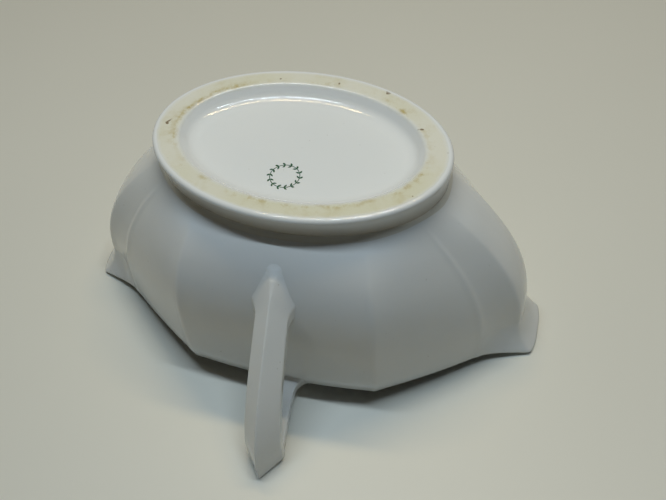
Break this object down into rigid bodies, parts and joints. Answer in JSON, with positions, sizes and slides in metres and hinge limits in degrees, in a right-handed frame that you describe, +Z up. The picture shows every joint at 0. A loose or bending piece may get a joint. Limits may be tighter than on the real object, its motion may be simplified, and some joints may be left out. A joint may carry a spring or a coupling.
{
  "type": "cream jug",
  "caption": "Oval faceted porcelain cream jug with a pouring lip at each end, a pointed strap handle and a recessed foot ring, standing mouth down.",
  "frame": {"origin": "on the table plane under the middle of the jug's bounding box, with the jug standing mouth down", "axes": "+X along the long axis from one pouring lip to the other, handle towards -Y, +Z up to the foot; turn the part half a turn about X to use it mouth up"},
  "size_m": [0.15, 0.1088, 0.0706],
  "materials": {
    "glazed_porcelain": "clear glossy glaze over white hard-paste porcelain",
    "foot_porcelain": "glazed wall with a bare cream standing band",
    "slip_joint": "fired slip under the glaze",
    "green_print": "green transfer print under the glaze"
  },
  "bodies": {
    "root": {"bowl": "glazed_porcelain", "foot_ring": "foot_porcelain", "foot_slip_joint": "slip_joint", "handle": "glazed_porcelain", "handle_root_slip_joint": "slip_joint", "handle_rim_slip_joint": "slip_joint", "backstamp": "green_print"}
  },
  "joints": []
}
